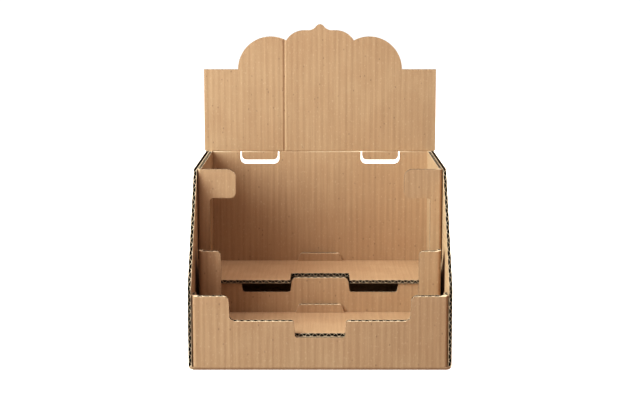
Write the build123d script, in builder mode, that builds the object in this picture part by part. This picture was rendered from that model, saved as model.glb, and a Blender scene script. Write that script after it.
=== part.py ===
from build123d import *
import math
import os

os.makedirs("parts", exist_ok=True)

# A counter display stand folded from corrugated board, in millimetres. +Z is up and the front faces -Y. The
# origin is on the surface that the stand rests on, under the middle of the case.

# Board
board = 4.0  # thickness of the corrugated board
slip = 0.3  # clearance between neighbouring layers, and the width of a die-cut line

# Outer case
case_width = 300.0  # over the outer side panels
case_depth = 297.0  # front panel to back panel, outside
wall_height = 218.7  # top of the side walls, and the crease under the header
wall_front_height = 96.0  # height of the outer side panels at the front edge
slope_run = 101.0  # how far back the sloped edge of the side panels runs
knee_radius = 4.0  # rounding at both ends of the sloped edge
front_height = 87.0  # top of the front panel at its two corners
front_post = 42.0  # width of the tall part at each end of the front panel
front_cut_height = 58.4  # bottom of the wide cut-out in the front panel
front_cut_draft = 1.0  # how much the cut-out narrows on each side towards its bottom
front_corner_radius = 7.0  # where the cut-out meets the top edge
front_cut_radius = 5.0  # in the bottom corners of the cut-out
notch_width = 60.0  # finger notch in the middle of the front panel, at its top
notch_draft = 1.6
notch_height = 38.7  # bottom of the finger notch
notch_radius = 3.0
corner_flap = 24.0  # length of the front panel's flaps inside the side panels
corner_flap_radius = 5.0

# Header above the crease
header_width = 303.4
header_corner_radius = 2.3
shoulder_height = 107.7  # shoulders above the crease
side_lobe_radius = 42.7
side_lobe_spacing = 128.8  # between the centres of the two side lobes
crown_lobe_radius = 27.0
crown_lobe_spacing = 41.8
crown_lobe_rise = 23.8  # centres of the two crown lobes above the shoulders
peak_height = 166.3  # tip of the header above the crease
peak_radius = 6.0
crown_flat_end = 15.1  # where the crown's flat top starts to sweep up to the tip, from the middle
crease_width = 1.8
crease_depth = 0.8
score_width = 5.0  # vertical score in the header
score_depth = 1.1
score_place = -46.4
slot_spacing = 158.6  # between the centres of the two U-shaped slots under the crease
slot_tab_width = 47.4  # tongue that the slot leaves hanging from the crease
slot_tab_length = 11.1
slot_tab_radius = 6.0
slot_side_gap = 2.0
slot_bottom_gap = 5.7
slot_radius = 7.5

# Strips that turn in at the front of the inner side walls
inner_wall_setback = 100.0  # from the front of the case to the face of the strips
strip_width = 14.4
strip_bottom = 110.0
hook_width = 45.5  # hook tab at the top of each strip
hook_height = 34.4
hook_top_radius = 10.0
hook_bottom_radius = 7.0
hook_inner_radius = 4.0

# Riser insert
riser_setback = 134.3  # from the front of the case to the face of the riser
wing_length = 76.8  # from the face of the riser forwards to the face of the lower flanges
flange_width = 25.6
flange_height = 128.0
flange_radius = 6.0
wing_flat = 13.0  # level top edge of the wings, from the face of the flanges
wing_clearance = 7.0  # between the wings and the lower ends of the strips
riser_tab_width = 68.6
riser_tab_rise = 2.7  # tab above the shelf beside it
riser_tab_radius = 7.0
riser_cut_outer = 96.0  # outer end of the finger cut-outs in the riser's top edge, from the middle
riser_cut_depth = 10.9
riser_cut_draft = 2.0
riser_cut_radius = 3.0

# Tiers: both floors lean back by the same angle
tier_lean = 2.1  # degrees
floor_front_height = 42.8  # top of the lower floor at its front edge
shelf_front_height = 78.6  # top of the upper shelf at its front edge
shelf_overhang = 2.3  # shelf in front of the riser's face
shelf_notch_width = 73.0
shelf_notch_depth = 53.0
shelf_notch_radius = 3.0
rear_tab_base = 62.0
rear_tab_top = 52.0
rear_tab_rise = 10.5
rear_tab_radius = 5.0

# Sizes that follow
front = -case_depth / 2
back = case_depth / 2
fold = board + slip  # outer radius of every fold
corner_relief = fold + slip
wrap_half = case_width / 2 - board - slip  # outer face of the inner side walls and corner flaps
flat_half = wrap_half - fold  # flat width of the front and back panels, from the middle
insert_half = wrap_half - board - slip  # outer face of the riser insert and the shelf
floor_half = insert_half - fold - slip  # clears the riser insert's folds
floor_face = front + fold
riser_face = front + riser_setback
riser_rear = riser_face + board
lean = math.tan(math.radians(tier_lean))
tier_board = board / math.cos(math.radians(tier_lean))  # thickness of a leaning floor, measured upright


def upright(y):
    """Plane of an upright sheet whose face is at y, with X to the right and Z up. It extrudes to -Y."""
    return Plane.XZ.offset(-y)


def corners(sketch, x, y):
    """The corners of a sketch at x, y and at the mirror image of that point."""
    return [v for v in sketch.vertices() if abs(abs(v.X) - x) < 0.01 and abs(v.Y - y) < 0.01]


def fold_ring(face, rear, half):
    """Plan of a pair of walls that run from y = face to y = rear, with a quarter-round fold at each end."""
    length = rear - face
    with BuildSketch() as plan:
        with Locations((0, (face + rear) / 2)):
            Rectangle(2 * half, length)
            fillet(plan.vertices(), fold)
            Rectangle(2 * (half - board), length - 2 * board, mode=Mode.SUBTRACT)
            Rectangle(2 * (half - fold), length, mode=Mode.SUBTRACT)
    return plan.sketch


def tier(face, leg_face, rear, half, top):
    """A leaning floor with a leg folded down along each side and a small tab folded up at its rear."""
    span = rear - face
    under = top - tier_board
    rear_top = top - span * lean
    with BuildPart() as panel:
        with BuildSketch(Plane.YZ):
            with BuildLine():
                Polyline(
                    (face, top),
                    (rear, rear_top),
                    (rear, rear_top - tier_board),
                    (face, under),
                    close=True,
                )
            make_face()
            with BuildLine():
                Polyline(
                    (leg_face, top - (leg_face - face) * lean),
                    (rear, rear_top),
                    (rear, board),
                    (leg_face, board),
                    close=True,
                )
            make_face()
        extrude(amount=half, both=True)
        rim = panel.faces().sort_by(Axis.Z)[-1].edges().group_by(Axis.X)
        fillet(rim[0] + rim[-1], fold)
        with BuildSketch(Plane.YZ):
            with BuildLine():
                Polyline(
                    (face - span, under + span * lean),
                    (rear + span, rear_top - tier_board - span * lean),
                    (rear + span, 0),
                    (face - span, 0),
                    close=True,
                )
            make_face()
        extrude(amount=half - board, both=True, mode=Mode.SUBTRACT)
        tab_end = rear_top + rear_tab_rise
        with BuildSketch(upright(rear)) as tab:
            with BuildLine():
                Polyline(
                    (-rear_tab_base / 2, rear_top - tier_board),
                    (rear_tab_base / 2, rear_top - tier_board),
                    (rear_tab_top / 2, tab_end),
                    (-rear_tab_top / 2, tab_end),
                    close=True,
                )
            make_face()
            fillet(corners(tab, rear_tab_top / 2, tab_end), rear_tab_radius)
        extrude(amount=board)
    return panel.part


# U-shaped slot that leaves a tongue hanging from the crease, drawn with the crease at y = 0
with BuildSketch() as tongue_slot:
    slot_length = slot_tab_length + slot_bottom_gap
    Rectangle(slot_tab_width + 2 * slot_side_gap, slot_length, align=(Align.CENTER, Align.MAX))
    fillet(tongue_slot.vertices().group_by(Axis.Y)[0], slot_radius)
    with BuildSketch(mode=Mode.SUBTRACT) as tongue:
        Rectangle(slot_tab_width, slot_tab_length, align=(Align.CENTER, Align.MAX))
        fillet(tongue.vertices().group_by(Axis.Y)[0], slot_tab_radius)

# Outer case: one sheet folded into the base, the four walls, the inner side walls and the header
crease = wall_height + slip  # the header's lower edge, a die-cut line above the side walls
shoulder = wall_height + shoulder_height
crown_centre = shoulder + crown_lobe_rise
crown_top = crown_centre + crown_lobe_radius
peak_centre = wall_height + peak_height - peak_radius
peak_lift = peak_centre - crown_top
sweep_radius = (crown_flat_end**2 + peak_lift**2 - peak_radius**2) / (2 * (peak_radius + peak_lift))
sweep_centre = crown_top + sweep_radius
touch = peak_radius / (peak_radius + sweep_radius)  # where the tip's arc meets the sweep
touch_x = touch * crown_flat_end
touch_z = peak_centre + touch * (sweep_centre - peak_centre)
strip_face = front + inner_wall_setback
strip_edge = wrap_half - strip_width
hook_edge = wrap_half - hook_width
hook_bottom = wall_height - hook_height

with BuildPart() as outer_case:
    # Base with the outer side walls folded up from it, and the roots of the front and back panels
    with BuildSketch(upright(0)) as channel:
        Rectangle(case_width, wall_height, align=(Align.CENTER, Align.MIN))
        fillet(channel.vertices().group_by(Axis.Y)[0], fold)
        with Locations((0, board + wall_height / 2)):
            Rectangle(case_width - 2 * board, wall_height, mode=Mode.SUBTRACT)
    extrude(amount=case_depth / 2, both=True)
    with BuildSketch(Plane.XY.offset(board)):
        Rectangle(2 * flat_half, case_depth)
        Rectangle(2 * flat_half, case_depth - 2 * board, mode=Mode.SUBTRACT)
    extrude(amount=board)

    # Outline of the side walls, which also rounds the folds along the front and the rear of the base
    with BuildSketch(Plane.YZ) as side_outline:
        with BuildLine():
            Polyline(
                (front, 0),
                (front, wall_front_height),
                (front + slope_run, wall_height),
                (back, wall_height),
                (back, 0),
                close=True,
            )
        make_face()
        fillet(side_outline.vertices().group_by(Axis.Y)[0], fold)
        knees = [v for v in side_outline.vertices() if v.X < front + slope_run + slip and v.Y > front_height]
        fillet(knees, knee_radius)
    extrude(amount=case_width, both=True, mode=Mode.INTERSECT)

    # Die-cut relief at the four corners of the base, where two folds meet
    with BuildSketch():
        with GridLocations(case_width, case_depth, 2, 2):
            Rectangle(2 * corner_relief, 2 * corner_relief)
    extrude(amount=corner_relief, mode=Mode.SUBTRACT)

    # Front panel with its wide cut-out and the finger notch in the middle
    cut_half = wrap_half - front_post
    cut_foot = cut_half - front_cut_draft
    notch_half = notch_width / 2
    notch_foot = notch_half - notch_draft
    with BuildSketch(upright(front)) as front_panel:
        with BuildLine():
            Polyline(
                (0, fold),
                (flat_half, fold),
                (flat_half, front_height),
                (cut_half, front_height),
                (cut_foot, front_cut_height),
                (notch_half, front_cut_height),
                (notch_foot, notch_height),
                (0, notch_height),
                close=True,
            )
        make_face()
        mirror(about=Plane.YZ)
        fillet(corners(front_panel, cut_half, front_height), front_corner_radius)
        fillet(corners(front_panel, cut_foot, front_cut_height), front_cut_radius)
        fillet(corners(front_panel, notch_half, front_cut_height), notch_radius)
        fillet(corners(front_panel, notch_foot, notch_height), notch_radius)
    extrude(amount=-board)

    # Corner flaps of the front panel, folded back inside the side walls
    flap_rear = front + corner_flap
    with BuildSketch(Plane.XY.offset(fold)):
        add(fold_ring(front, back, wrap_half))
        with Locations((0, flap_rear + case_depth / 2)):
            Rectangle(case_width, case_depth, mode=Mode.SUBTRACT)
    extrude(amount=front_height - fold)
    flap_ends = [e for e in outer_case.edges().filter_by(Axis.X) if abs(e.center().Y - flap_rear) < slip]
    fillet(ShapeList(flap_ends).group_by(Axis.Z)[-1], corner_flap_radius)

    # Inner side walls, folded forwards from the back panel, with the start of the strip at their front edge
    with BuildSketch(Plane.XY.offset(fold)):
        add(fold_ring(strip_face, back, wrap_half))
    extrude(amount=wall_height - fold)
    with BuildSketch(Plane.XY.offset(fold)):
        fold_middle = (flat_half + wrap_half) / 2
        with Locations((-fold_middle, strip_face + fold / 2), (fold_middle, strip_face + fold / 2)):
            Rectangle(fold, fold)
    extrude(amount=strip_bottom - fold, mode=Mode.SUBTRACT)

    # Strips with their hook tabs, turned inwards from the inner side walls
    with BuildSketch(upright(strip_face)) as strips:
        with BuildLine():
            Polyline(
                (flat_half, strip_bottom),
                (flat_half, wall_height),
                (hook_edge, wall_height),
                (hook_edge, hook_bottom),
                (strip_edge, hook_bottom),
                (strip_edge, strip_bottom),
                close=True,
            )
        make_face()
        mirror(about=Plane.YZ)
        fillet(corners(strips, hook_edge, wall_height), hook_top_radius)
        fillet(corners(strips, hook_edge, hook_bottom), hook_bottom_radius)
        fillet(corners(strips, strip_edge, hook_bottom), hook_inner_radius)
    extrude(amount=-board)

    # Back panel and header
    with BuildSketch(upright(back - board)) as back_panel:
        with Locations((0, fold)):
            Rectangle(2 * flat_half, crease - fold, align=(Align.CENTER, Align.MIN))
        with Locations((0, crease)):
            Rectangle(header_width, shoulder - crease, align=(Align.CENTER, Align.MIN))
        fillet(corners(back_panel, header_width / 2, crease), header_corner_radius)
        with Locations((-side_lobe_spacing / 2, shoulder), (side_lobe_spacing / 2, shoulder)):
            Circle(side_lobe_radius)
        with Locations((-crown_lobe_spacing / 2, crown_centre), (crown_lobe_spacing / 2, crown_centre)):
            Circle(crown_lobe_radius)
        with Locations((0, shoulder)):
            Rectangle(crown_lobe_spacing, crown_top - shoulder, align=(Align.CENTER, Align.MIN))
        with BuildLine():
            Polyline(
                (0, crown_centre),
                (crown_flat_end, crown_top),
                (touch_x, touch_z),
                (0, touch_z),
                close=True,
            )
        make_face()
        mirror(about=Plane.YZ)
        with Locations((0, peak_centre)):
            Circle(peak_radius)
        with Locations((-crown_flat_end, sweep_centre), (crown_flat_end, sweep_centre)):
            Circle(sweep_radius, mode=Mode.SUBTRACT)
        with Locations((-slot_spacing / 2, wall_height), (slot_spacing / 2, wall_height)):
            add(tongue_slot.sketch, mode=Mode.SUBTRACT)
    extrude(amount=-board)

    # Crease under the header and the upright score in it, both pressed into the front face
    header_face = back - board
    with BuildSketch(Plane.YZ):
        with BuildLine():
            Polyline(
                (header_face, wall_height - crease_width / 2),
                (header_face, wall_height + crease_width / 2),
                (header_face + crease_depth, wall_height),
                close=True,
            )
        make_face()
    extrude(amount=flat_half, both=True, mode=Mode.SUBTRACT)
    with BuildSketch(Plane.XY.offset(crease)):
        with BuildLine():
            Polyline(
                (score_place - score_width / 2, header_face),
                (score_place + score_width / 2, header_face),
                (score_place, header_face + score_depth),
                close=True,
            )
        make_face()
    extrude(amount=peak_height, mode=Mode.SUBTRACT)

# Riser insert: one sheet folded into the riser, two side wings and the two lower flanges
shelf_face = riser_face - shelf_overhang
riser_top = shelf_front_height - tier_board - (riser_rear - shelf_face) * lean - slip
riser_flat = insert_half - fold
flange_face = riser_face - wing_length
flange_edge = insert_half - flange_width
flange_bottom = floor_front_height - (flange_face - floor_face) * lean + slip
cut_bottom = riser_top - riser_cut_depth
tab_half = riser_tab_width / 2
tab_end = shelf_front_height + riser_tab_rise

with BuildPart() as riser_insert:
    # Wings with the folds at both ends, cut down where they pass under the strips of the inner side walls
    with BuildSketch(Plane.XY.offset(board)):
        add(fold_ring(flange_face, riser_rear, insert_half))
    extrude(amount=flange_height - board)
    with BuildSketch(Plane.YZ):
        with BuildLine():
            Polyline(
                (flange_face, board),
                (flange_face, flange_height),
                (flange_face + wing_flat, flange_height),
                (strip_face - fold, strip_bottom - wing_clearance),
                (riser_face - fold, riser_top),
                (riser_rear, riser_top),
                (riser_rear, board),
                close=True,
            )
        make_face()
    extrude(amount=insert_half, both=True, mode=Mode.INTERSECT)

    # Riser with its centre tab and the two finger cut-outs in its top edge
    with BuildSketch(upright(riser_face)) as riser:
        with BuildLine():
            Polyline(
                (0, board),
                (riser_flat, board),
                (riser_flat, riser_top),
                (riser_cut_outer, riser_top),
                (riser_cut_outer - riser_cut_draft, cut_bottom),
                (tab_half + riser_cut_draft, cut_bottom),
                (tab_half, tab_end),
                (0, tab_end),
                close=True,
            )
        make_face()
        mirror(about=Plane.YZ)
        fillet(corners(riser, riser_cut_outer - riser_cut_draft, cut_bottom), riser_cut_radius)
        fillet(corners(riser, tab_half + riser_cut_draft, cut_bottom), riser_cut_radius)
        fillet(corners(riser, tab_half, tab_end), riser_tab_radius)
    extrude(amount=-board)

    # Lower flanges, turned inwards from the wings above the lower floor
    with BuildSketch(upright(flange_face)) as flanges:
        with BuildLine():
            Polyline(
                (riser_flat, flange_bottom),
                (riser_flat, flange_height),
                (flange_edge, flange_height),
                (flange_edge, flange_bottom),
                close=True,
            )
        make_face()
        mirror(about=Plane.YZ)
        fillet(corners(flanges, flange_edge, flange_height), flange_radius)
    extrude(amount=-board)

# Lower floor, between the front panel and the riser
floor_blank = tier(floor_face, floor_face, riser_face - slip, floor_half, floor_front_height)

with BuildPart() as lower_floor:
    add(floor_blank)

# Upper shelf, on the riser, with the notch that its centre tab stands in
shelf_blank = tier(shelf_face, riser_rear + slip, back - board - slip, insert_half, shelf_front_height)

with BuildPart() as upper_shelf:
    add(shelf_blank)
    with BuildSketch(Plane.XY.offset(riser_top - board)) as notch:
        with Locations((0, shelf_face)):
            Rectangle(shelf_notch_width, 2 * shelf_notch_depth)
        fillet(notch.vertices().group_by(Axis.Y)[-1], shelf_notch_radius)
    extrude(amount=tab_end - riser_top + board, mode=Mode.SUBTRACT)

outer_case.part.label = "outer_case"
riser_insert.part.label = "riser_insert"
lower_floor.part.label = "lower_floor"
upper_shelf.part.label = "upper_shelf"
for piece in (outer_case, riser_insert, lower_floor, upper_shelf):
    export_step(piece.part, f"parts/{piece.part.label}.step")
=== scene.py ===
# %% [markdown]
# # A counter display stand folded from corrugated board
#
# The stand is four die-cut sheets of brown corrugated board: an outer case with its scalloped
# header, a riser insert, a lower floor and an upper shelf. Their shapes and sizes come from the
# CAD model, in metres. Blender adds what makes board look like board: the open wave at every
# cut edge, the soft ribs that the wave presses through the paper, and the paper itself.

# %% Load the frame and keep its box
import math

import bpy
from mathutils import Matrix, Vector
from mathutils.bvhtree import BVHTree


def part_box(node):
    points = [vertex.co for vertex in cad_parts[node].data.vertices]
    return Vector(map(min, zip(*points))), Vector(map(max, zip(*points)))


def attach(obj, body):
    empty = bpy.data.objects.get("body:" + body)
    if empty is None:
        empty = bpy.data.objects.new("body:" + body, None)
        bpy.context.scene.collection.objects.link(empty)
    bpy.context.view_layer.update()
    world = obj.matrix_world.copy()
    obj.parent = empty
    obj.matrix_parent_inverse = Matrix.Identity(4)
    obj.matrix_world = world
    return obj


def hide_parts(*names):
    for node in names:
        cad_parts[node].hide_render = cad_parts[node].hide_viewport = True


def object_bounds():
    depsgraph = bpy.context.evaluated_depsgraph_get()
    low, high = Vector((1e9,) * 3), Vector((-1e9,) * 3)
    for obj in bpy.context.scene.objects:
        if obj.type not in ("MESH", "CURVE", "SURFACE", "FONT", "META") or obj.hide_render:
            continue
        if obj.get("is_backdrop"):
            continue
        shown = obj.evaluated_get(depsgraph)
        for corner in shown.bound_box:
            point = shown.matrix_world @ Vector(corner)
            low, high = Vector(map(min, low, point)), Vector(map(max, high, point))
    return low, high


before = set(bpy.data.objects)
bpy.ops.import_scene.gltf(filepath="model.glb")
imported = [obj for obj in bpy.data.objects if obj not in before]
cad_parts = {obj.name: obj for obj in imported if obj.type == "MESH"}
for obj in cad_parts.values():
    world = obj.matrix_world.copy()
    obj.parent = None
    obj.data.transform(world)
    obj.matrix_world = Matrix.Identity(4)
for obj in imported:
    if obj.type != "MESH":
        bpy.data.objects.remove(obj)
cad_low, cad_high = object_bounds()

bpy.ops.object.select_all(action="DESELECT")
print("CAD box in metres:", [round(v, 4) for v in (*cad_low, *cad_high)])

# %% [markdown]
# ## The board
#
# Board is two flat papers, the liners, glued to a wavy one between them, the fluting. It is 4
# mm thick, and the wave repeats about every 8 mm. One set of sizes serves every sheet, because
# the whole stand is cut from the same board. The sizes of the sheets are read from the CAD
# nodes where a box gives them, and the few that a box can't give, such as the top of the side
# walls, are named here.

# %% Sizes of the board and of the stand
board = 0.004
slip = 0.0003  # clearance between neighbouring layers
fold = board + slip  # outer radius of a fold
pitch = 0.0079  # one wave of the fluting
side_pitch = 0.0088  # the side walls' wave is a little longer
wave_height = 0.0033  # height of the open channels between the liners
wall_gap = 0.0007  # the fluting's thickness, measured across the board

case_half = 0.150  # outer face of the outer side walls
wall_top = 0.2187
flap_face = case_half - board - slip  # outer face of the inner side walls and corner flaps
front, rear = cad_low.y, cad_high.y
strip_face = front + 0.100
header_start = wall_top + 0.005  # above the crease
score_place = -0.0464  # the header's score, left of the middle
slot_place = 0.0793  # middle of a header slot
half_board = board / 2

riser_low, riser_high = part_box("riser_insert")
floor_low, floor_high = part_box("lower_floor")
shelf_low, shelf_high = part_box("upper_shelf")
lean = math.radians(2.1)
print("riser", tuple(riser_low), tuple(riser_high))
print("floor", tuple(floor_low), tuple(floor_high))
print("shelf", tuple(shelf_low), tuple(shelf_high))

# %% [markdown]
# ## Finishes
#
# Kraft paper isn't one brown. Its pulp is cloudy, it has long faint streaks along the ribs,
# short fibres across them, and a few dark specks of bark. The ribs are only a few hundredths of
# a millimetre high, so they are a bump with painted shade in stripes along them, while the open
# ends of the wave are real holes. The pattern follows each panel's ribs, so every face gets a
# "board" UV map in metres: U runs across the ribs and V along them. Clouds and specks read
# Object coordinates, so that they run on round a fold without a seam.

# %% Helpers for building a material
def new_material(name):
    """An empty node material with its shader, and a short way to add and link nodes."""
    material = bpy.data.materials.new(name)
    material.use_nodes = True
    tree = material.node_tree
    shader = tree.nodes["Principled BSDF"]

    def add(kind, inputs=None, **settings):
        node = tree.nodes.new(kind)
        for key, value in settings.items():
            setattr(node, key, value)
        for key, value in (inputs or {}).items():
            if isinstance(value, bpy.types.NodeSocket):
                tree.links.new(value, node.inputs[key])
            else:
                node.inputs[key].default_value = value
        return node

    return material, shader, add, tree.links


def noise(add, coordinates, scale, detail=3.0, rough=0.5, stretch=(1, 1, 1)):
    """A noise pattern, stretched along one direction if asked. Its value is around 0.5."""
    mapped = add("ShaderNodeMapping", {"Vector": coordinates, "Scale": stretch})
    return add(
        "ShaderNodeTexNoise",
        {"Vector": mapped.outputs[0], "Scale": scale, "Detail": detail, "Roughness": rough},
    ).outputs["Fac"]


def spread(add, value, low, high, to_low=0.0, to_high=1.0):
    """Maps a range of a value onto another, and stops at its ends."""
    return add(
        "ShaderNodeMapRange",
        {"Value": value, "From Min": low, "From Max": high, "To Min": to_low, "To Max": to_high},
    ).outputs[0]


def tint(add, colour, value, other, share=1.0):
    """Mixes a colour towards another by a value, at most by a share."""
    factor = add("ShaderNodeMath", {0: value, 1: share}, operation="MULTIPLY").outputs[0]
    mix = add("ShaderNodeMix", {"Factor": factor}, data_type="RGBA", clamp_factor=True)
    for socket, source in (("A_Color", colour), ("B_Color", other)):
        target = next(s for s in mix.inputs if s.identifier == socket)
        if isinstance(source, bpy.types.NodeSocket):
            mix.id_data.links.new(source, target)
        else:
            target.default_value = (*source, 1)
    return next(s for s in mix.outputs if s.identifier == "Result_Color")


# %% Kraft paper of the liners
kraft_light = (0.53, 0.37, 0.229)
kraft_middle = (0.45, 0.288, 0.168)
# The darkest tone serves both the paper's real streaks and the painted shade along the ribs.
kraft_streak_and_rib_shade = (0.30, 0.170, 0.089)
kraft_red = (0.42, 0.246, 0.135)
pale_fibre = (0.66, 0.50, 0.35)
bark = (0.13, 0.065, 0.033)

kraft, shader, add, links = new_material("kraft_liner")
coordinates = add("ShaderNodeTexCoord")
place = coordinates.outputs["Object"]
along = add("ShaderNodeUVMap", uv_map="board").outputs["UV"]
across = add("ShaderNodeSeparateXYZ", {"Vector": along}).outputs["X"]

clouds = spread(add, noise(add, place, 26, 4.0, 0.6), 0.3, 0.7)
warm = spread(add, noise(add, place, 9, 2.0), 0.35, 0.65)
streaks = spread(add, noise(add, along, 1.0, 3.0, 0.6, (420, 9, 1)), 0.32, 0.68)
fibres = spread(add, noise(add, along, 1.0, 2.0, 0.6, (700, 2600, 1)), 0.3, 0.7)

colour = tint(add, kraft_middle, clouds, kraft_light, 0.7)
colour = tint(add, colour, warm, kraft_red, 0.35)
colour = tint(add, colour, streaks, kraft_streak_and_rib_shade, 0.40)
colour = tint(add, colour, fibres, kraft_light, 0.30)

# Ribs: the wave of the fluting, with a slow wobble so that no two ribs are quite alike
wobble = spread(add, noise(add, along, 1.0, 2.0, 0.5, (90, 5, 1)), 0.2, 0.8, -1.1, 1.1)
phase = add("ShaderNodeMath", {0: across, 1: 2 * math.pi / pitch}, operation="MULTIPLY").outputs[0]
phase = add("ShaderNodeMath", {0: phase, 1: wobble}, operation="ADD").outputs[0]
wave = add("ShaderNodeMath", {0: phase}, operation="SINE").outputs[0]
up = add("ShaderNodeSeparateXYZ", {"Vector": coordinates.outputs["Normal"]}).outputs["Z"]
upright = spread(add, up, 0.4, 0.9, 1.0, 0.3)  # the ribs show less on a level face
wave = add("ShaderNodeMath", {0: wave, 1: upright}, operation="MULTIPLY").outputs[0]
# Painted shade: the colour darkens in stripes that follow the ribs' wave, less on a level face.
painted_rib_shade = spread(add, wave, -0.5, 1.0)
depth = spread(add, noise(add, along, 1.0, 2.0, 0.5, (45, 12, 1)), 0.3, 0.7, 0.07, 0.29)
painted_rib_shade = add("ShaderNodeMath", {0: painted_rib_shade, 1: depth}, operation="MULTIPLY").outputs[0]
colour = tint(add, colour, painted_rib_shade, kraft_streak_and_rib_shade)

# Specks of bark, one in a few cells of a cell pattern
crossed = add("ShaderNodeMapping", {"Vector": place, "Scale": (1.0, 1.0, 0.6)}).outputs[0]
cells = add("ShaderNodeTexVoronoi", {"Vector": crossed, "Scale": 150.0}, feature="F1")
speck = spread(add, cells.outputs["Distance"], 0.06, 0.14, 1.0, 0.0)
pick = add("ShaderNodeSeparateColor", {0: cells.outputs["Color"]}).outputs[0]
pick = spread(add, pick, 0.5, 0.52)
speck = add("ShaderNodeMath", {0: speck, 1: pick}, operation="MULTIPLY").outputs[0]
colour = tint(add, colour, speck, bark, 0.5)
flecks = spread(add, noise(add, along, 1.0, 2.0, 0.5, (520, 300, 1)), 0.62, 0.70)
colour = tint(add, colour, flecks, pale_fibre, 0.30)
links.new(colour, shader.inputs["Base Color"])

rib_bump = add("ShaderNodeBump", {"Height": wave, "Strength": 1.0, "Distance": 0.000045})
grain = noise(add, place, 1500, 2.0)
fine_bump = add(
    "ShaderNodeBump",
    {"Height": grain, "Strength": 0.35, "Distance": 0.0001, "Normal": rib_bump.outputs[0]},
)
links.new(fine_bump.outputs[0], shader.inputs["Normal"])
links.new(spread(add, grain, 0.3, 0.7, 0.66, 0.80), shader.inputs["Roughness"])
shader.inputs["Specular IOR Level"].default_value = 0.4
print("liner material:", len(kraft.node_tree.nodes), "nodes")

# %% [markdown]
# A die cuts board by crushing it a little, and the bare fibres at the cut are paler than the
# paper's smooth face. The walls of the wave's channels are painted much darker than their paper
# really is, as painted shade, so that a channel a few millimetres wide still reads as a deep one.
# Both are plain fibre underneath, so noise does the work.

# %% Cut edges and fluting
cut_edge, shader, add, links = new_material("cut_edge")
place = add("ShaderNodeTexCoord").outputs["Object"]
cut_middle, cut_dark, cut_pale = (0.68, 0.53, 0.37), (0.52, 0.38, 0.25), (0.78, 0.64, 0.48)
shreds = spread(add, noise(add, place, 700, 3.0), 0.3, 0.7)
colour = tint(add, cut_middle, shreds, cut_dark, 0.5)
clouds = spread(add, noise(add, place, 60, 2.0), 0.35, 0.65)
colour = tint(add, colour, clouds, cut_pale, 0.5)
links.new(colour, shader.inputs["Base Color"])
torn = add(
    "ShaderNodeBump",
    {"Height": noise(add, place, 1800, 3.0), "Strength": 0.5, "Distance": 0.00015},
)
links.new(torn.outputs[0], shader.inputs["Normal"])
shader.inputs["Roughness"].default_value = 0.95
shader.inputs["Specular IOR Level"].default_value = 0.15

fluting, shader, add, links = new_material("fluting_paper_and_shade")
place = add("ShaderNodeTexCoord").outputs["Object"]
# Painted shade: these colours are far darker than fluting paper and stand for the shade deep inside
# the channels.
channel_shade_brown, channel_shade_black = (0.032, 0.018, 0.010), (0.016, 0.009, 0.005)
pulp = spread(add, noise(add, place, 350, 3.0), 0.3, 0.7)
colour = tint(add, channel_shade_brown, pulp, channel_shade_black, 0.8)
links.new(colour, shader.inputs["Base Color"])
rough = add(
    "ShaderNodeBump",
    {"Height": noise(add, place, 1600, 2.0), "Strength": 0.4, "Distance": 0.0001},
)
links.new(rough.outputs[0], shader.inputs["Normal"])
shader.inputs["Roughness"].default_value = 0.95
shader.inputs["Specular IOR Level"].default_value = 0.1
print("materials:", kraft.name, cut_edge.name, fluting.name)

# %% [markdown]
# ## Sheets from the CAD nodes
#
# Each sheet is one CAD solid, and its shape is already right. It arrives as loose triangles, so
# a copy is joined up first. A face belongs to a liner when the board behind it is about 4 mm
# thick, and to a cut edge otherwise, so a ray sent back through the sheet tells them apart.
# That is steadier than sorting faces by hand, because it also gets the folds and the creases
# right.

# %% Choose a piece and cut a tool out of it
def choose(piece):
    """Leaves one object selected and active."""
    bpy.ops.object.select_all(action="DESELECT")
    piece.select_set(True)
    bpy.context.view_layer.objects.active = piece


def take_out(sheet, tool):
    """Cuts a tool's shape out of a sheet, and clears the tool away. Its finish stays on the cut."""
    choose(sheet)
    cut = sheet.modifiers.new("cut", "BOOLEAN")
    cut.operation = "DIFFERENCE"
    cut.solver = "MANIFOLD"
    cut.object = tool
    bpy.ops.object.modifier_apply(modifier=cut.name)
    bpy.data.objects.remove(tool)


# %% Copy a CAD node and sort its faces
merge_distance = 0.000004


def sheet_from(node, name):
    """A joined-up copy of a CAD node, with liner and cut-edge faces sorted."""
    piece = bpy.data.objects.new(name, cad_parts[node].data.copy())
    bpy.context.scene.collection.objects.link(piece)
    choose(piece)
    bpy.ops.mesh.customdata_custom_splitnormals_clear()
    bpy.ops.object.mode_set(mode="EDIT")
    bpy.ops.mesh.select_all(action="SELECT")
    bpy.ops.mesh.remove_doubles(threshold=merge_distance)
    bpy.ops.mesh.select_all(action="DESELECT")
    bpy.ops.mesh.select_non_manifold()
    bpy.ops.object.mode_set(mode="OBJECT")
    loose = sum(e.select for e in piece.data.edges)
    piece.data.materials.clear()
    for material in (kraft, cut_edge, fluting):
        piece.data.materials.append(material)
    surface = BVHTree.FromPolygons(
        [v.co for v in piece.data.vertices], [p.vertices[:] for p in piece.data.polygons]
    )
    for face in piece.data.polygons:
        inwards = -face.normal
        hit = surface.ray_cast(face.center + inwards * 0.00005, inwards)[3]
        is_liner = hit is not None and 0.6 * board < hit < 1.2 * board
        face.material_index = 0 if is_liner else 1
    print(name, len(piece.data.polygons), "faces,", loose, "open edges")
    return piece


case_sheet = sheet_from("outer_case", "case_board")
riser_sheet = sheet_from("riser_insert", "riser_board")
floor_sheet = sheet_from("lower_floor", "floor_board")
shelf_sheet = sheet_from("upper_shelf", "shelf_board")

# %% [markdown]
# ## Pressed rims
#
# The die leaves the straight upper rims pressed down a little towards their front, so a pale
# line shows there with the dark ends of the wave in it. A bevel of such an edge would stop at
# the short edges of the next corner, so a turned block cuts the slope instead. Where the corner
# beside the rim falls away, the block runs on past it and the slope fades out by itself.

# %% Slope the rims
shortest_rim = 0.008  # anything shorter belongs to a rounded corner


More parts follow.
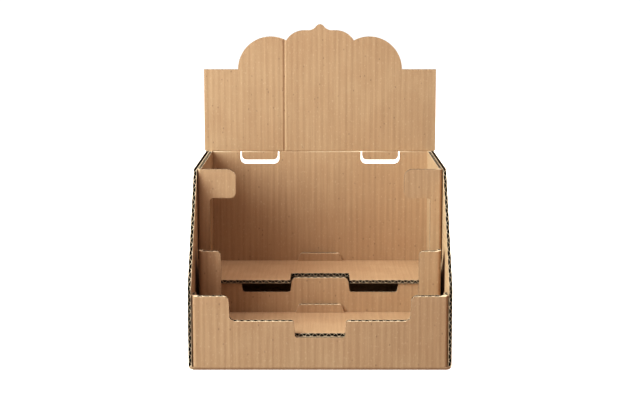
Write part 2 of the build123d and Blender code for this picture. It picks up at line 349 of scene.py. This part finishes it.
def press_rims(piece, depth, lowest, highest):
    """Slopes the front rims of the straight cuts between two heights, to a depth."""
    mesh = piece.data
    sides = {}
    for face in mesh.polygons:
        for key in face.edge_keys:
            sides.setdefault(key, []).append(face)
    surface = BVHTree.FromPolygons(
        [v.co for v in mesh.vertices], [p.vertices[:] for p in mesh.polygons]
    )
    rims = []
    for key, pair in sides.items():
        liner, cut = sorted(pair, key=lambda face: face.material_index)
        left, right = sorted((mesh.vertices[v].co.copy() for v in key), key=lambda co: co.x)
        sorts = (liner.material_index, cut.material_index)
        looks_up = liner.normal.y < -0.9 and cut.normal.z > 0.95
        is_straight = right.x - left.x > shortest_rim
        if sorts == (0, 1) and looks_up and is_straight and lowest < right.z < highest:
            for end, way in ((left, -1), (right, 1)):
                beside = Vector((end.x + way * 0.003, end.y - 0.01, end.z + 0.0004))
                if surface.ray_cast(beside, Vector((0, 1, 0)), 0.016)[3] is None:
                    end.x += way * 0.004  # the corner falls away here
            rims.append((left, right))
    for left, right in rims:
        print("   rim from", [round(v, 4) for v in left], "to x", round(right.x, 4))
        bpy.ops.object.select_all(action="DESELECT")
        outwards = Vector((0, -1, 1)).normalized()
        centre = (left + right) / 2 + Vector((0, depth / 2, -depth / 2)) + outwards * depth
        bpy.ops.mesh.primitive_cube_add(size=1, location=centre, rotation=(math.pi / 4, 0, 0))
        press = bpy.context.object
        press.scale = (right.x - left.x, 2 * depth, 2 * depth)
        press.data.materials.append(cut_edge)
        bpy.ops.object.transform_apply(location=True, rotation=True, scale=True)
        take_out(piece, press)
    print(piece.name, "rims pressed along", len(rims), "edges")


press_rims(case_sheet, 0.0011, 0.055, 0.090)
press_rims(riser_sheet, 0.0008, 0.070, riser_high.z + slip)
press_rims(floor_sheet, 0.0004, floor_high.z - slip, floor_high.z + slip)
press_rims(shelf_sheet, 0.0004, shelf_high.z - slip, shelf_high.z + slip)

# %% [markdown]
# ## The open wave
#
# Wherever a cut crosses the ribs, the wave shows as a row of triangles, turned up and down by
# turns. Drawing them on would look flat from close by and from the side, so they are cut into
# the sheets as tunnels. One tunnel is a three-sided cylinder, squashed to the wave's width and
# height, with its long edges bevelled to the soft bend of wet paper. A second one, turned over,
# sits half a wave further on, and what is left between the two is the fluting. An Array
# modifier repeats the pair across a panel, and a Boolean takes the whole row out of the sheet.

# %% Model one pair of tunnels and repeat it
paper_bend = 0.0005  # width of the wave's soft bends


def tunnels(count, length, spacing):
    """A row of tunnels up Z from 0, repeated along X from 0, with the board's middle at Y 0."""
    wave_width = spacing - 2 * wall_gap
    side = wave_width / math.sqrt(3)
    bpy.ops.object.select_all(action="DESELECT")
    bpy.ops.mesh.primitive_cylinder_add(
        vertices=3, radius=side, depth=length, location=(0, 0, length / 2)
    )
    row = bpy.context.object
    row.data.materials.append(fluting)
    bpy.ops.object.transform_apply(location=True, rotation=True, scale=True)
    bpy.ops.object.mode_set(mode="EDIT")
    bpy.ops.mesh.select_all(action="SELECT")
    bpy.ops.transform.resize(value=(1, wave_height / (1.5 * side), 1), center_override=(0, 0, 0))
    bpy.ops.transform.translate(value=(0, -wave_height / 6, 0))
    bpy.ops.mesh.select_all(action="DESELECT")
    bpy.ops.object.mode_set(mode="OBJECT")
    for edge in row.data.edges:
        ends = [row.data.vertices[v].co.z for v in edge.vertices]
        edge.select = abs(ends[0] - ends[1]) > length / 2
    bpy.ops.object.mode_set(mode="EDIT")
    bpy.ops.mesh.select_mode(type="EDGE")
    bpy.ops.mesh.bevel(offset=paper_bend, offset_type="WIDTH", segments=3, clamp_overlap=True)
    bpy.ops.mesh.select_all(action="SELECT")
    bpy.ops.mesh.duplicate()
    bpy.ops.transform.rotate(value=math.pi, orient_axis="Z", center_override=(0, 0, 0))
    bpy.ops.transform.translate(value=(spacing / 2, 0, 0))
    bpy.ops.mesh.select_all(action="SELECT")
    bpy.ops.mesh.normals_make_consistent(inside=False)
    bpy.ops.object.mode_set(mode="OBJECT")
    repeat = row.modifiers.new("repeat", "ARRAY")
    repeat.count = count
    repeat.use_relative_offset = False
    repeat.use_constant_offset = True
    repeat.constant_offset_displace = (spacing, 0, 0)
    bpy.ops.object.modifier_apply(modifier=repeat.name)
    return row


UPRIGHT = (0, 0, 0)  # ribs up, on a sheet that faces the front
TURNED = (0, 0, math.pi / 2)  # ribs up, on a sheet that faces a side
LYING = (-math.pi / 2, 0, 0)  # ribs front to back, on a level sheet
ON_SIDE = (-math.pi / 2, -math.pi / 2, 0)  # ribs front to back, on a sheet that faces a side


def open_wave(sheet, turn, start, width, length, spacing=pitch):
    """Cuts one row of tunnels into a sheet, from a starting corner in the middle of the board."""
    row = tunnels(max(1, round(width / spacing)), length, spacing)
    row.rotation_euler = turn
    row.location = start
    bpy.ops.object.transform_apply(location=True, rotation=True, scale=True)
    take_out(sheet, row)


# %% [markdown]
# The rows follow the ribs of each panel. They run up the front, the back and everything folded
# from them, and front to back in the base, the side walls and the two floors. A row ends short
# of a crease or a fold, because the die has crushed the wave flat there.

# %% Open the case's edges
side_pairs = 24  # pairs of tunnels below the groove at the top of a side wall
fold_clear = 0.0075  # how far a row stays from a fold that it runs beside
row_start = 0.012  # how far up the first row starts, above the base's fold
for side in (-1, 1):
    middle = side * (case_half - half_board)
    start = (middle, front - slip, wall_top - side_pairs * side_pitch)
    through = rear - front + 2 * slip
    open_wave(case_sheet, ON_SIDE, start, side_pairs * side_pitch, through, side_pitch)
    start = (middle, front, wall_top)
    open_wave(case_sheet, ON_SIDE, start, side_pitch, rear - front - fold, side_pitch)
    inner = side * (flap_face - half_board)
    open_wave(case_sheet, TURNED, (inner, front + fold_clear, row_start), 0.018, 0.09)
    start = (inner, strip_face + fold_clear, 0.185)
    open_wave(case_sheet, TURNED, start, rear - strip_face - 0.014, 0.04)
    strip_start = 0.1002 if side > 0 else -0.1002 - 5 * pitch
    start = (strip_start, strip_face + half_board, 0.100)
    open_wave(case_sheet, UPRIGHT, start, 5 * pitch, 0.125)
    start = (side * slot_place - 3.5 * pitch + pitch / 4, rear - half_board, 0.190)
    open_wave(case_sheet, UPRIGHT, start, 7 * pitch, 0.0265)
start = (-17.25 * pitch, front + half_board, row_start)
open_wave(case_sheet, UPRIGHT, start, 35 * pitch, 0.09)
for start_x, width in ((-0.1506, 0.0985), (score_place + 0.0065, 0.197)):
    start = (start_x, rear - half_board, header_start)
    open_wave(case_sheet, UPRIGHT, start, width, 0.18)
print("case:", len(case_sheet.data.polygons), "faces")

# %% Open the riser's, the floor's and the shelf's edges
riser_y = riser_high.y - half_board
for side in (-1, 1):
    start = (side * (riser_high.x - half_board), riser_low.y + fold_clear, 0.055)
    open_wave(riser_sheet, TURNED, start, 0.067, 0.08)
    flange_start = -riser_high.x + fold + 0.002
    if side > 0:
        flange_start = riser_high.x - fold - 3 * pitch + 0.002
    start = (flange_start, riser_low.y + half_board, 0.030)
    open_wave(riser_sheet, UPRIGHT, start, 2.6 * pitch, 0.11)
open_wave(riser_sheet, UPRIGHT, (-16.75 * pitch, riser_y, 0.050), 34 * pitch, 0.04)

leaning = (LYING[0] - lean, 0, 0)
past = 0.001  # a row runs this far past both ends of a tier
tiers = (
    (floor_sheet, floor_low, floor_high, 0.0428, 33),
    (shelf_sheet, shelf_low, shelf_high, 0.0786, 34),
)  # sheet, its box, height of its front edge, pairs of tunnels
for sheet, low, high, top, count in tiers:
    middle = top - half_board / math.cos(lean)
    start = (-(count / 2 - 0.25) * pitch, low.y - past, middle + past * math.tan(lean))
    open_wave(sheet, leaning, start, count * pitch, high.y - low.y + 2 * past)
    tab_foot = top - (high.y - low.y) * math.tan(lean) + 0.0015
    start = (-3.25 * pitch + pitch / 4, high.y - half_board, tab_foot)
    open_wave(sheet, UPRIGHT, start, 6 * pitch, 0.02)
    print(sheet.name, len(sheet.data.polygons), "faces")

# %% [markdown]
# ## Finish the sheets
#
# The tunnels bring their own finish with them, so their walls are fluting already. Every face
# now gets its "board" UV map: U across the ribs and V along them, by the way that its panel
# faces. Last, faces that meet at a shallow angle are shaded smooth, so the folds look round and
# the cuts stay crisp. A Weighted Normal modifier lets the large faces decide, so that a panel
# stays flat right up to its fold.

# %% Lay the ribs' map and smooth the folds
fold_facet = math.radians(18)  # a fold's facets meet at less than this


def finish_sheet(sheet, node, tier):
    """Gives a sheet its map of the ribs, its smooth folds, and its place in the frame."""
    mesh = sheet.data
    inside = sum(face.material_index == 2 for face in mesh.polygons)
    while mesh.uv_layers:
        mesh.uv_layers.remove(mesh.uv_layers[0])
    layer = mesh.uv_layers.new(name="board")
    for face in mesh.polygons:
        n = face.normal
        facing = max(range(3), key=lambda axis: abs(n[axis]))
        if facing == 1:
            u, v = 0, 2
        elif facing == 2:
            u, v = 0, 1
        elif tier or abs(face.center.x) > flap_face + slip / 2:
            u, v = 2, 1
        else:
            u, v = 1, 2
        for loop in face.loop_indices:
            point = mesh.vertices[mesh.loops[loop].vertex_index].co
            layer.data[loop].uv = (point[u], point[v])
    choose(sheet)
    bpy.ops.object.shade_smooth_by_angle(angle=fold_facet)
    weighted = sheet.modifiers.new("flat panels", "WEIGHTED_NORMAL")
    weighted.keep_sharp = True
    bpy.ops.object.modifier_apply(modifier=weighted.name)
    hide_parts(node)
    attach(sheet, "root")
    print(sheet.name, len(mesh.polygons), "faces,", inside, "of them inside the wave")


finish_sheet(case_sheet, "outer_case", False)
finish_sheet(riser_sheet, "riser_insert", False)
finish_sheet(floor_sheet, "lower_floor", True)
finish_sheet(shelf_sheet, "upper_shelf", True)

# %% [markdown]
# ## The studio
#
# The stand is lit as for a catalogue: a large soft light at the left, like a window, a smaller
# one nearer the left front, a soft one above, and a low one behind, which is there for the back
# and the right side. The left wall then throws its shade into the case, the right wall catches
# the light, and the tiers read by their shadows. The window is a little cool and the room's own
# light weak and a little warm, and the view's gamma is below 1. These were found by trying
# lights one at a time and mixing them until the board's tones came close. The floor and what is
# seen of the room are white and stay out of the way.

# %% A white floor
bpy.ops.object.select_all(action="DESELECT")
bpy.ops.mesh.primitive_circle_add(vertices=96, radius=6.0, fill_type="NGON", location=(0, 0, 0))
studio_floor = bpy.context.object
studio_floor.name = "studio_floor"
paper_white, shader, add, links = new_material("studio_white")
place = add("ShaderNodeTexCoord").outputs["Object"]
patches = spread(add, noise(add, place, 3.0), 0.3, 0.7)
shade = tint(add, (0.90, 0.90, 0.90), patches, (0.93, 0.93, 0.93))
links.new(shade, shader.inputs["Base Color"])
shader.inputs["Roughness"].default_value = 0.9
shader.inputs["Emission Color"].default_value = (1, 1, 1, 1)
shader.inputs["Emission Strength"].default_value = 1.0
studio_floor.data.materials.append(paper_white)
studio_floor.visible_diffuse = False  # the glowing floor doesn't light the stand
studio_floor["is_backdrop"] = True

# %% Soft lights
def soft_light(name, place, target, size, power):
    """A square soft light that looks at a point."""
    bpy.ops.object.light_add(type="AREA", location=place)
    light = bpy.context.object
    light.name = name
    light.rotation_euler = (Vector(target) - Vector(place)).to_track_quat("-Z", "Y").to_euler()
    light.data.size = size
    light.data.energy = power
    return light


middle = (0, 0, 0.15)
window = soft_light("window_light", (-2.0, -0.8, 1.2), middle, 2.0, 108)
window.data.color = (0.70, 0.95, 1.0)
soft_light("near_light", (-0.9, -0.9, 0.9), middle, 1.2, 19)
soft_light("back_light", (1.6, 2.0, 0.4), middle, 1.5, 45)
soft_light("top_light", (0.2, -0.1, 1.9), middle, 1.0, 17)

# %% A white room
room = bpy.data.worlds.new("white_room")
bpy.context.scene.world = room
room.use_nodes = True
nodes, room_links = room.node_tree.nodes, room.node_tree.links
seen = nodes.new("ShaderNodeLightPath").outputs["Is Camera Ray"]
strength = nodes.new("ShaderNodeMapRange")
strength.inputs["To Min"].default_value = 0.46
strength.inputs["To Max"].default_value = 1.1
room_links.new(seen, strength.inputs["Value"])
warmth = nodes.new("ShaderNodeMix")
warmth.data_type = "RGBA"
room_links.new(seen, warmth.inputs["Factor"])
warmth.inputs[6].default_value = (1.0, 0.74, 0.62, 1)
warmth.inputs[7].default_value = (1, 1, 1, 1)
room_links.new(warmth.outputs[2], nodes["Background"].inputs["Color"])
room_links.new(strength.outputs[0], nodes["Background"].inputs["Strength"])
bpy.context.scene.view_settings.view_transform = "Standard"
bpy.context.scene.view_settings.gamma = 0.8
print("room light:", strength.inputs["To Min"].default_value)

# %% [markdown]
# A long lens from well back, a little above the stand and tilted down by about eight degrees,
# keeps the uprights nearly parallel and still shows the two floors.

# %% Camera
tilt = math.radians(8.3)
bpy.ops.object.camera_add(location=(0, -1.7555, 0.431), rotation=(math.pi / 2 - tilt, 0, 0))
camera = bpy.context.object
camera.data.sensor_width = 36
camera.data.lens = 81.56
bpy.context.scene.camera = camera
print("camera:", tuple(round(v, 4) for v in camera.location), "lens", camera.data.lens)

# %% Print the visual box and finish
low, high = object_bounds()
print("visual box:", [round(v, 4) for v in (*low, *high)])
